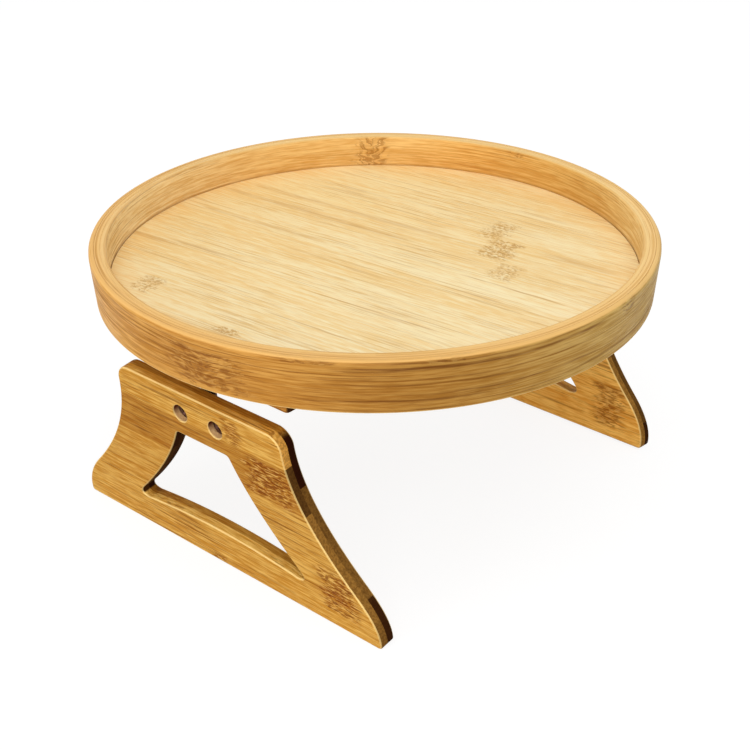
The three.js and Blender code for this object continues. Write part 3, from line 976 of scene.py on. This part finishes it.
def leg_bamboo(side):
    """Two layers of strips, dark where their ends show and pale along the arrises with wear and a
    painted highlight; painted shade darkens the ends inside the window and the tops of the recesses.
    """
    finish, tree, shader, place = new_finish(f"{side}_leg_bamboo")
    look = BAMBOO_LOOKS[f"{side}_leg"]
    own = split(tree, place["Object"])
    grain = join(tree, own[1], own[2], own[0])
    outer = reckon(tree, "GREATER_THAN", own[0], (LEG_INNER_FACE + 0.5 * LEG_THICKNESS) * MM)
    outside = leg_strip_tones(tree, own[2], OUTER_JOINTS, look["outer_faces"])
    inside = leg_strip_tones(tree, own[2], INNER_JOINTS, look["inner_faces"])
    facing = split(tree, place["Normal"])
    end = ramp(tree, size_of(tree, facing[1]), 0.35, 0.8)
    colour, fibre = bamboo(tree, shader, grain, look, tint(tree, outer, inside, outside), end)
    sawn_up = ramp(tree, size_of(tree, facing[2]), 0.6, 0.9)
    within = times(tree, sawn_up, less(tree, 1.0, outer))
    colour = tint(tree, within, colour, INNER_LAYER, "MULTIPLY")
    colour = tint(tree, sawn_up, colour, SAWN_EDGE, "MULTIPLY")
    outside = leg_strip_tones(tree, own[2], OUTER_JOINTS, look["outer_ends"])
    inside = leg_strip_tones(tree, own[2], INNER_JOINTS, look["inner_ends"])
    block = tint(tree, outer, inside, outside)
    speckled = times(tree, block, ramp(tree, fibre["Fibres"], 0.0, 1.0, 1.25, 0.75))
    # Painted shade: end faces that look into the window are taken down towards the dark end colour
    outwards = reckon(tree, "GREATER_THAN", times(tree, facing[1], own[1]), 0.0)
    speckled = times(tree, speckled, ramp(tree, outwards, 0.0, 1.0, 0.15, 1.0))
    ends = tint(tree, speckled, END_DARK, END_PALE)
    colour = tint(tree, end, colour, ends)
    drilled = tint(tree, times(tree, fibre["Fibres"], 0.3), FRESH_CUT, look["stain"])
    # Painted shade: the recess wall darkens towards its top, where the shade of its rim falls
    painted_recess_shade = ramp(tree, own[2], RECESS_MIDDLE + RECESS_SHADE_START, RECESS_MIDDLE + RECESS_SHADE_END)
    drilled = tint(tree, painted_recess_shade, drilled, RECESS_PAINTED_SHADE)
    colour = tint(tree, inside_recess(tree, own), colour, drilled)
    # Pale arrises: rubbed wear, with a painted highlight that grows where they face up
    wear_and_top_highlight = ramp(tree, facing[2], 0.15, 0.6, 0.45, 0.8)
    colour = tint(tree, times(tree, worn_and_highlit_arris(tree, facing[0]), wear_and_top_highlight), colour, ARRIS_PALE)
    tree.links.new(colour, shader.inputs["Base Color"])
    return finish


def plated_steel(name, pale, dark):
    finish, tree, shader, place = new_finish(name)
    plating = put(tree, PLATING, {"Place": place["Object"]})
    tree.links.new(tint(tree, plating["Shade"], dark, pale), shader.inputs["Base Color"])
    tree.links.new(plating["Roughness"], shader.inputs["Roughness"])
    shader.inputs["Metallic"].default_value = 1.0
    return finish


# Tray

def rim_ply(name, ply, corners):
    shape = Shape()
    turned(shape, rounded(corners), upright, RIM_STEPS)
    place = Matrix.Translation((0, 0, TRAY_Z * MM))
    piece(f"{name}_band", shape, rim_bamboo(ply), place, "tray", f"{name}_ply")


def tray_rim():
    outer = RIM_RADIUS - PLY_THICKNESS
    inner = RIM_RADIUS - 2 * PLY_THICKNESS
    well = RIM_RADIUS - 3 * PLY_THICKNESS
    top = RIM_HEIGHT
    foot = (RIM_RADIUS - RIM_TAPER, 0, RIM_FOOT_EASE)
    corners = [(outer, 0, 0), foot, (RIM_RADIUS, top, RIM_TOP_EASE), (outer, top, RIM_GROOVE)]
    rim_ply("rim_outer", "rim_outer", corners)
    corners = [(inner, 0, 0), (outer, 0, 0), (outer, top, RIM_GROOVE), (inner, top, RIM_GROOVE)]
    rim_ply("rim_middle", "rim_core", corners)
    corners = [(well, 0, 0), (inner, 0, 0), (inner, top, RIM_GROOVE), (well, top, RIM_LIP_EASE)]
    rim_ply("rim_inner", "rim_inner", corners)


def tray_floor():
    shape = Shape()
    edge = eased_edge(FLOOR_THICKNESS, FLOOR_EASE)
    panel(shape, [(circle(FLOOR_RADIUS, steps=RIM_STEPS), edge)], upright)
    place = Matrix.Translation((0, 0, TRAY_Z * MM))
    piece("floor_panel", shape, floor_bamboo(), place, "tray", "tray_floor")


def base_board():
    shape = Shape()
    x = BOARD_LENGTH / 2
    y = BOARD_WIDTH / 2
    r = BOARD_CORNER
    outline = rounded([(-x, -y, r), (x, -y, r), (x, y, r), (-x, y, r)])
    outlines = [(outline, eased_edge(BOARD_THICKNESS, BOARD_EASE))]
    sink = [(0, 0), (-SINK_STEP, SCREW_HEAD_HEIGHT), (-SINK_STEP, BOARD_THICKNESS)]
    for across, up in BOARD_SCREWS:
        outlines.append((circle(SINK_RADIUS, across, up), sink))
    panel(shape, outlines, upright)
    place = Matrix.Translation((0, 0, BOARD_Z * MM))
    piece("board_panel", shape, board_bamboo(), place, "tray", "base_board")


# Legs

def leg_outline():
    shoulder = LEG_TOP_WIDTH / 2
    foot = LEG_FOOT_WIDTH / 2
    flare_top = LEG_TOP - SHOULDER_RADIUS
    knee = Vector((shoulder + FLARE_KNEE[0], flare_top - FLARE_KNEE[1]))
    turn_over = Vector((foot - TOE[0], LEG_BOTTOM + TOE[1]))
    toe_knee = turn_over.y + TOE[0] * (turn_over.y - knee.y) / (turn_over.x - knee.x)
    half = [Vector((0, LEG_TOP))]
    for step in range(CURVE_STEPS + 1):
        turn = math.pi / 2 * step / CURVE_STEPS
        across = shoulder - SHOULDER_RADIUS + SHOULDER_RADIUS * math.sin(turn)
        half.append(Vector((across, flare_top + SHOULDER_RADIUS * math.cos(turn))))
    half += bend(half[-1], knee, turn_over, 2 * CURVE_STEPS)
    half += bend(turn_over, Vector((foot, toe_knee)), Vector((foot, LEG_BOTTOM + FOOT_CORNER)))
    half += bend(half[-1], Vector((foot, LEG_BOTTOM)), Vector((foot - FOOT_CORNER, LEG_BOTTOM)), 6)
    half.append(Vector((0, LEG_BOTTOM)))
    return both_halves(half)


def window_outline():
    upper = Vector((WINDOW_TOP_WIDTH / 2, WINDOW_TOP))
    lower = Vector((WINDOW_BOTTOM_WIDTH / 2, WINDOW_BOTTOM))
    down = (lower - upper).normalized()
    middle = upper + down * WINDOW_BOW[0] + Vector((down.y, -down.x)) * WINDOW_BOW[1]
    side_top = upper + (middle - upper).normalized() * WINDOW_TOP_ROUND
    side_bottom = lower + (middle - lower).normalized() * WINDOW_BOTTOM_ROUND
    arch_end = Vector((lower.x - WINDOW_BOTTOM_ROUND, WINDOW_BOTTOM))
    arch_top = WINDOW_BOTTOM + WINDOW_ARCH
    half = [Vector((0, WINDOW_TOP))]
    half += bend(Vector((upper.x - WINDOW_TOP_ROUND, upper.y)), upper, side_top, 6)
    half += bend(side_top, middle, side_bottom, 2 * CURVE_STEPS)
    half += bend(side_bottom, lower, arch_end)
    half += bend(arch_end, Vector((arch_end.x / 2, arch_top)), Vector((0, arch_top)))
    return both_halves(half)


def stood_up(across, up, depth):
    """A leg's outline stands in its own Y and Z; depth goes in from its outer face."""
    return Vector((LEG_INNER_FACE + LEG_THICKNESS - depth, across, up))


def hinge_place(side):
    place = Matrix.Translation((PIN_X * MM, 0, PIN_Z * MM))
    return Matrix.Rotation(math.pi, 4, "Z") @ place if side == "left" else place


def leg_place(side):
    return hinge_place(side) @ Matrix.Rotation(LEG_LEAN, 4, "Y")


def leg(side):
    shape = Shape()
    finish = leg_bamboo(side)
    rounded_over = eased_edge(LEG_THICKNESS, LEG_EASE)
    outlines = [(leg_outline(), rounded_over), (window_outline(), rounded_over)]
    sink = [(SINK_LIP, 0), (0, SINK_LIP), (0, SINK_DEPTH)]
    sink += [(-SINK_STEP, SINK_DEPTH), (-SINK_STEP, LEG_THICKNESS)]
    for across in SCREW_SPREAD:
        outlines.append((circle(SINK_RADIUS, across, -SCREW_REACH), sink))
    panel(shape, outlines, stood_up)
    body = f"{side}_leg_swing"
    piece(f"{side}_leg_panel", shape, finish, leg_place(side), body, f"{side}_leg")


# Hinges and screws

def knuckle(shape, start, end):
    profile = [
        (BORE_RADIUS, start, 0),
        (KNUCKLE_RADIUS, start, KNUCKLE_EASE),
        (KNUCKLE_RADIUS, end, KNUCKLE_EASE),
        (BORE_RADIUS, end, 0),
    ]
    turned(shape, rounded(profile, 2), along_pin)


def leaf_outline(tongues):
    """A plate below a neck, with tongues that run up to the knuckles."""
    corners = []
    for start, end in tongues:
        corners += [(start, NECK_TOP, 0), (start, TONGUE_TOP, 0)]
        corners += [(end, TONGUE_TOP, 0), (end, NECK_TOP, 0)]
    if tongues[0][0] > -NECK_HALF:
        corners = [(-NECK_HALF, NECK_TOP, 0)] + corners + [(NECK_HALF, NECK_TOP, 0)]
    else:
        corners = corners[1:-1]
    right = [(NECK_HALF, LEAF_TOP, NECK_CORNER)]
    right += [(LEAF_HALF, up, LEAF_CORNER) for up in (LEAF_TOP, LEAF_BOTTOM)]
    left = [(-across, up, reach) for across, up, reach in reversed(right)]
    return rounded(corners + right + left)[::-1]


def leaf(knuckles, hole_radius, hole_edge, lay):
    shape = Shape()
    outlines = [(leaf_outline(knuckles), eased_edge(LEAF_THICKNESS, LEAF_EASE, 2))]
    for across in SCREW_SPREAD:
        outlines.append((circle(hole_radius, across, -SCREW_REACH), hole_edge))
    panel(shape, outlines, lay)
    for start, end in knuckles:
        knuckle(shape, start, end)
    return shape


def leg_leaf(side, finish):
    def lay(across, up, depth):
        return Vector((depth, across, up))

    shape = leaf(OUTER_KNUCKLES, HOLE_RADIUS, [(0, 0), (0, LEAF_THICKNESS)], lay)
    body = f"{side}_leg_swing"
    piece(f"{side}_leg_hinge", shape, finish, leg_place(side), body, f"{side}_leg_leaf")


def board_leaf(side, finish):
    def lay(across, up, depth):
        return Vector((up, across, LEAF_LEVEL + depth))

    sunk = [(0, 0), (-LEAF_SINK_STEP, LEAF_THICKNESS)]
    shape = leaf([MIDDLE_KNUCKLE], SINK_RADIUS, sunk, lay)
    place = hinge_place(side)
    piece(f"{side}_board_hinge", shape, finish, place, "tray", f"{side}_board_leaf")


def hinge_pin(side, finish):
    shape = Shape()
    neck = NECK_HALF + PIN_GAP
    end = neck + PIN_HEAD_LENGTH
    half = [(PIN_RADIUS, neck), (PIN_HEAD_RADIUS, neck)]
    half += [(PIN_HEAD_RADIUS, end - PIN_HEAD_EASE), (PIN_FACE_RADIUS, end - PIN_FACE_DROP)]
    other_half = [(radius, -height) for radius, height in reversed(half)]
    rings = stacked(shape, other_half + half, along_pin)
    shape.fan(rings[0], shape.ring([along_pin(0, 0, -end)])[0])
    shape.fan(rings[-1], shape.ring([along_pin(0, 0, end)])[0])
    piece(f"{side}_pin", shape, finish, hinge_place(side), "tray", f"{side}_hinge_pin")


def cross(half_width, reach):
    """A cross recess: twelve corners, anticlockwise."""
    arm = [(reach, -half_width), (reach, half_width), (half_width, half_width)]
    corners = []
    for _ in range(4):
        corners += [Vector(corner) for corner in arm]
        arm = [(-y, x) for x, y in arm]
    return corners


def screw(name, profile, finish, place, body, node_name):
    """Its head's face looks down from the origin, and its tip points up."""
    shape = Shape()
    rings = stacked(shape, profile, upright)
    shape.cap([rings[-1]])
    face = profile[0][1]
    mouth = shape.ring([upright(p.x, p.y, face) for p in cross(*CROSS_MOUTH)])
    bottom = shape.ring([upright(p.x, p.y, face + CROSS_DEPTH) for p in cross(*CROSS_BOTTOM)])
    shape.cap([rings[0], mouth])
    shape.band(mouth, bottom)
    shape.cap([bottom])
    piece(name, shape, finish, place, body, node_name)


def countersunk(length):
    inset, drop = SCREW_HEAD_EASE
    tip_radius, tip_length = SCREW_TIP
    return [
        (SCREW_HEAD_RADIUS - inset, 0.0),
        (SCREW_HEAD_RADIUS, drop),
        (SCREW_RADIUS, SCREW_HEAD_HEIGHT),
        (SCREW_RADIUS, length - tip_length),
        (tip_radius, length),
    ]


def pan_headed(length):
    return PAN_CROWN + [
        (SCREW_HEAD_RADIUS, SCREW_HEAD_HEIGHT),
        (SCREW_RADIUS, SCREW_HEAD_HEIGHT),
        (SCREW_RADIUS, length - SCREW_END_EASE),
        (SCREW_RADIUS - SCREW_END_EASE, length),
    ]


def board_screws(finish):
    profile = countersunk(BOARD_SCREW_LENGTH)
    for i, (x, y) in enumerate(BOARD_SCREWS):
        turn = Matrix.Rotation(BOARD_SCREW_TURN * i, 4, "Z")
        place = Matrix.Translation(Vector((x, y, BOARD_Z)) * MM) @ turn
        screw(f"tray_screw_{i + 1}", profile, finish, place, "tray", f"board_screw_{i + 1}")


def hinge_screws(side, finish):
    for i, across in enumerate(SCREW_SPREAD, 1):
        turn = Matrix.Rotation(HINGE_SCREW_TURNS[i - 1], 4, "Z")
        spot = Matrix.Translation(Vector((-SCREW_REACH, across, LEAF_LEVEL)) * MM)
        place = hinge_place(side) @ spot @ turn
        profile = countersunk(LEAF_SCREW_LENGTH)
        screw(f"{side}_hinge_screw_{i}", profile, finish, place, "tray", f"{side}_leaf_screw_{i}")
        spot = Matrix.Translation(Vector((LEG_SCREW_LENGTH, across, -SCREW_REACH)) * MM)
        place = leg_place(side) @ spot @ Matrix.Rotation(-math.pi / 2, 4, "Y") @ turn
        profile = pan_headed(LEG_SCREW_LENGTH)
        body = f"{side}_leg_swing"
        screw(f"{side}_leg_bolt_{i}", profile, finish, place, body, f"{side}_leg_screw_{i}")


# Studio

GROUND_HALF = 6.0
GROUND_LIT = (0.5, 0.5, 0.5, 1)
GROUND_SEEN = (0.18, 0.18, 0.18, 1)
GROUND_GLOW = 0.87
WORLD_LIGHT = 0.6
CAMERA_PLACE = (-0.42926, -0.37351, 0.368377)
CAMERA_AHEAD = (0.65820, 0.57373, -0.48744)
CAMERA_ABOVE = (0.37379, 0.31297, 0.87312)
CAMERA_LENS = 66.83
CAMERA_SENSOR = 36.0


def white_to_the_eye(tree):
    """One for what the camera, gloss and glass see, and nothing for light that falls on things."""
    path = tree.nodes.new("ShaderNodeLightPath").outputs
    seen = reckon(tree, "MAXIMUM", path["Is Camera Ray"], path["Is Glossy Ray"])
    return reckon(tree, "MAXIMUM", seen, path["Is Transmission Ray"])


def studio_floor():
    mesh = bpy.data.meshes.new("studio_floor")
    half = GROUND_HALF
    corners = [(-half, -half, 0), (half, -half, 0), (half, half, 0), (-half, half, 0)]
    mesh.from_pydata(corners, [], [(0, 1, 2, 3)])
    ground = added("studio_floor", mesh)
    finish = bpy.data.materials.new("studio_floor")
    tree = empty_tree(finish)
    lit = node(tree, "ShaderNodeBsdfDiffuse", {"Color": GROUND_LIT}).outputs[0]
    shaded = node(tree, "ShaderNodeBsdfDiffuse", {"Color": GROUND_SEEN}).outputs[0]
    glow = node(tree, "ShaderNodeEmission", {"Strength": GROUND_GLOW}).outputs[0]
    both = node(tree, "ShaderNodeAddShader", {0: shaded, 1: glow}).outputs[0]
    mixed = node(tree, "ShaderNodeMixShader", {0: white_to_the_eye(tree), 1: lit, 2: both}).outputs[0]
    node(tree, "ShaderNodeOutputMaterial", {"Surface": mixed})
    mesh.materials.append(finish)


def studio_world():
    world = bpy.data.worlds.new("studio")
    bpy.context.scene.world = world
    tree = empty_tree(world)
    strength = ramp(tree, white_to_the_eye(tree), 0.0, 1.0, WORLD_LIGHT, 1.0)
    light = node(tree, "ShaderNodeBackground", {"Color": (1, 1, 1, 1), "Strength": strength}).outputs[0]
    node(tree, "ShaderNodeOutputWorld", {"Surface": light})


def soft_box(name, place, aim, size, power):
    lamp = bpy.data.lights.new(name, "AREA")
    lamp.shape = "DISK"
    lamp.size = size
    lamp.energy = power
    made = added(name, lamp)
    made.location = place
    made.rotation_euler = (Vector(aim) - Vector(place)).to_track_quat("-Z", "Y").to_euler()


def photo_camera():
    lens = bpy.data.cameras.new("photo_camera")
    lens.sensor_fit = "HORIZONTAL"
    lens.sensor_width = CAMERA_SENSOR
    lens.lens = CAMERA_LENS
    lens.clip_start = 0.01
    camera = added("photo_camera", lens)
    ahead = Vector(CAMERA_AHEAD)
    right = ahead.cross(Vector(CAMERA_ABOVE)).normalized()
    above = right.cross(ahead).normalized()
    turn = Matrix((right, above, -ahead.normalized())).transposed().to_4x4()
    camera.matrix_world = Matrix.Translation(CAMERA_PLACE) @ turn
    bpy.context.scene.camera = camera


tray_floor()
tray_rim()
base_board()
# Dark bronze plating, made darker to stand in for shade: partly painted shade in the hinge gaps and at
# the bottom of the leg recesses
hinge_bronze_and_painted_shade = plated_steel("hinge_bronze_and_painted_shade", shown(104, 78, 64), shown(52, 36, 30))
screw_bronze_and_painted_shade = plated_steel("screw_bronze_and_painted_shade", shown(122, 88, 76), shown(60, 38, 34))
board_screws(screw_bronze_and_painted_shade)
leg("left")
leg("right")
for side in ("left", "right"):
    leg_leaf(side, hinge_bronze_and_painted_shade)
    board_leaf(side, hinge_bronze_and_painted_shade)
    hinge_pin(side, hinge_bronze_and_painted_shade)
    hinge_screws(side, screw_bronze_and_painted_shade)

studio_floor()
studio_world()
soft_box("top_light", (-0.45, -0.38, 1.4), (0, 0, 0.1), 1.6, 8.6)
soft_box("left_light", (-1.25, 0.35, 0.35), (0, 0, 0.05), 0.9, 4.5)
soft_box("front_light", (-1.0, -0.75, 0.15), (0.08, 0, 0.05), 0.28, 4.2)
photo_camera()

bpy.context.scene.view_settings.view_transform = "Standard"
